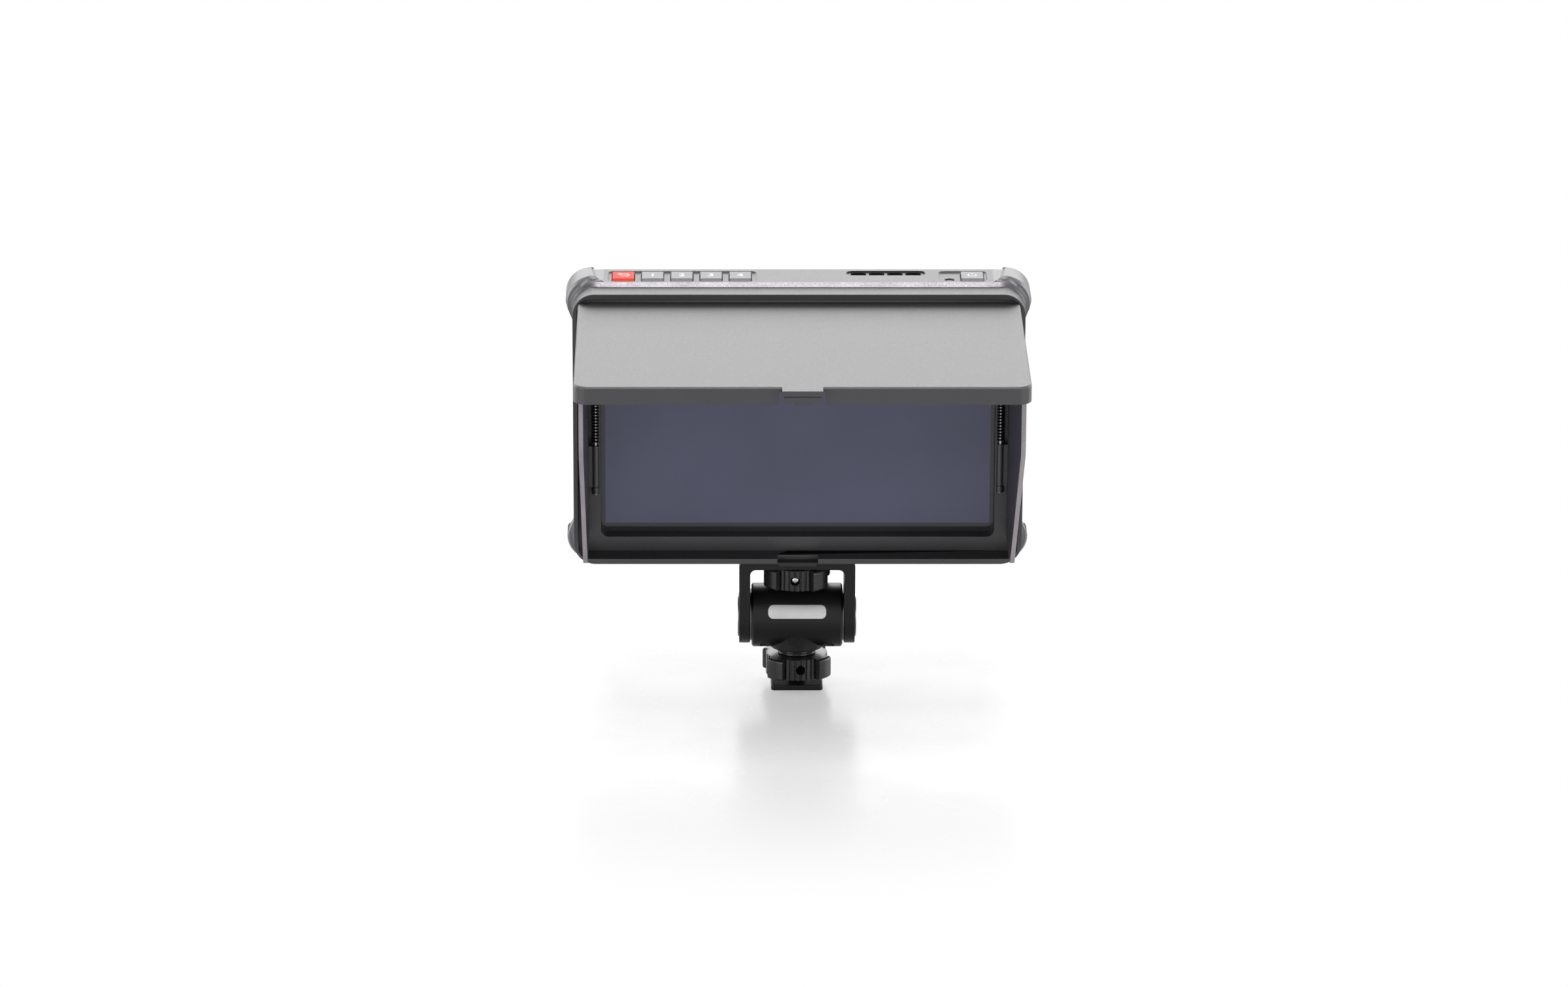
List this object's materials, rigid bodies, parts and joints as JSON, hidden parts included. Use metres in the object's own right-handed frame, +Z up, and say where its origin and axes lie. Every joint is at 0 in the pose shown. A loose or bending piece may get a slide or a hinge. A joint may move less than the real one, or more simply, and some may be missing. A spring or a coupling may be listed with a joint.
{
  "type": "camera field monitor with sun hood",
  "caption": "Small on-camera screen with a folding sun hood, top buttons and rubber corner guards, on a tilting mount with thumbwheels and an accessory-shoe foot.",
  "frame": {"origin": "centre of the shoe foot's underside", "axes": "+Z up, the screen looks along -Y, +X is to the right of someone facing the screen; the mount's tilt axis is along X"},
  "size_m": [0.1592, 0.1289, 0.1499],
  "materials": {
    "graphite_plastic": "satin",
    "hood_plastic": "satin",
    "soft_rubber": "matte",
    "button_grey": "satin",
    "button_red": "satin",
    "cover_glass": "gloss",
    "display_panel": "gloss",
    "white_film": "matte",
    "pressed_steel": "satin",
    "bright_steel": "gloss",
    "black_alloy": "satin",
    "silver_plate": "matte",
    "brass": "satin",
    "circuit_board": "satin",
    "black_plastic": "satin",
    "gold_contact": "gloss"
  },
  "bodies": {
    "foot": {"shoe_foot": "black_alloy", "swivel_washer": "black_alloy", "stud_nut": "pressed_steel"},
    "clamp_wheel": {"lower_thumbwheel": "black_plastic"},
    "head": {"head_lower_shell": "black_alloy", "head_upper_shell": "black_alloy", "head_screws": "pressed_steel", "blank_plate": "silver_plate", "tilt_axle": "pressed_steel"},
    "tilting_yoke": {"yoke": "black_alloy", "friction_washers": "pressed_steel", "axle_caps": "pressed_steel", "bridge_pad": "soft_rubber"},
    "screw_wheel": {"upper_thumbwheel": "black_plastic", "mounting_screw": "pressed_steel"},
    "monitor": {"front_bezel": "graphite_plastic", "rear_housing": "graphite_plastic", "corner_guards": "soft_rubber", "cover_glass": "cover_glass", "lcd_panel": "display_panel", "backlight_unit": "white_film", "panel_carrier": "pressed_steel", "main_board": "circuit_board", "button_board": "circuit_board", "tripod_insert": "brass", "vent_grille": "black_plastic", "light_sensor": "white_film", "battery_plate": "black_plastic", "battery_contacts": "gold_contact", "video_in_socket": "bright_steel", "video_out_socket": "bright_steel", "power_socket": "black_plastic", "headphone_socket": "black_plastic", "service_socket": "bright_steel", "rear_screws": "pressed_steel", "hood_frame": "hood_plastic", "top_hinge_pins": "pressed_steel", "left_hinge_pin": "pressed_steel", "right_hinge_pin": "pressed_steel", "left_hinge_spring": "bright_steel", "right_hinge_spring": "bright_steel"},
    "return_key": {"return_button": "button_red"},
    "key_1": {"function_button_1": "button_grey"},
    "key_2": {"function_button_2": "button_grey"},
    "key_3": {"function_button_3": "button_grey"},
    "key_4": {"function_button_4": "button_grey"},
    "power_key": {"power_button": "button_grey"},
    "hood_top": {"top_flap": "hood_plastic"},
    "hood_left": {"left_flap": "hood_plastic"},
    "hood_right": {"right_flap": "hood_plastic"},
    "latch": {"battery_latch": "button_grey"}
  },
  "joints": [
    {"name": "clamp_wheel_turn", "type": "hinge", "parent": "foot", "child": "clamp_wheel", "pos_m": [0, 0, 0.0077], "axis": [0, 0, 1], "continuous": true},
    {"name": "head_swivel", "type": "hinge", "parent": "foot", "child": "head", "pos_m": [0, 0, 0.025], "axis": [0, 0, 1], "continuous": true},
    {"name": "tilt", "type": "hinge", "parent": "head", "child": "tilting_yoke", "pos_m": [0, 0, 0.025], "axis": [1, 0, 0], "range_deg": [-94, 86]},
    {"name": "screw_wheel_turn", "type": "hinge", "parent": "tilting_yoke", "child": "screw_wheel", "pos_m": [0, -0.00112, 0.04096], "axis": [0, -0.0698, 0.9976], "continuous": true},
    {"name": "monitor_pan", "type": "hinge", "parent": "tilting_yoke", "child": "monitor", "pos_m": [0, -0.00174, 0.04984], "axis": [0, -0.0698, 0.9976], "continuous": true},
    {"name": "return_press", "type": "slide", "parent": "monitor", "child": "return_key", "axis": [0, 0.0698, -0.9976], "range_m": [0, 0.0005], "stiffness_N_per_m": 800, "springref_m": -0.001},
    {"name": "key_1_press", "type": "slide", "parent": "monitor", "child": "key_1", "axis": [0, 0.0698, -0.9976], "range_m": [0, 0.0005], "stiffness_N_per_m": 800, "springref_m": -0.001},
    {"name": "key_2_press", "type": "slide", "parent": "monitor", "child": "key_2", "axis": [0, 0.0698, -0.9976], "range_m": [0, 0.0005], "stiffness_N_per_m": 800, "springref_m": -0.001},
    {"name": "key_3_press", "type": "slide", "parent": "monitor", "child": "key_3", "axis": [0, 0.0698, -0.9976], "range_m": [0, 0.0005], "stiffness_N_per_m": 800, "springref_m": -0.001},
    {"name": "key_4_press", "type": "slide", "parent": "monitor", "child": "key_4", "axis": [0, 0.0698, -0.9976], "range_m": [0, 0.0005], "stiffness_N_per_m": 800, "springref_m": -0.001},
    {"name": "power_press", "type": "slide", "parent": "monitor", "child": "power_key", "axis": [0, 0.0698, -0.9976], "range_m": [0, 0.0005], "stiffness_N_per_m": 800, "springref_m": -0.001},
    {"name": "top_flap_lift", "type": "hinge", "parent": "monitor", "child": "hood_top", "pos_m": [0, -0.02352, 0.14054], "axis": [-1, 0, 0], "range_deg": [0, 15]},
    {"name": "left_flap_fold", "type": "hinge", "parent": "monitor", "child": "hood_left", "pos_m": [-0.06965, -0.0174, 0.09887], "axis": [0, -0.0698, 0.9976], "range_deg": [0, 90], "stiffness_Nm_per_rad": 0.01, "springref_deg": -45.84},
    {"name": "right_flap_fold", "type": "hinge", "parent": "monitor", "child": "hood_right", "pos_m": [0.06965, -0.0156, 0.09899], "axis": [0, 0.0698, -0.9976], "range_deg": [0, 90], "stiffness_Nm_per_rad": 0.01, "springref_deg": -45.84},
    {"name": "latch_slide", "type": "slide", "parent": "monitor", "child": "latch", "axis": [0, 0.0698, -0.9976], "range_m": [0, 0.0025], "stiffness_N_per_m": 300, "springref_m": -0.002}
  ]
}
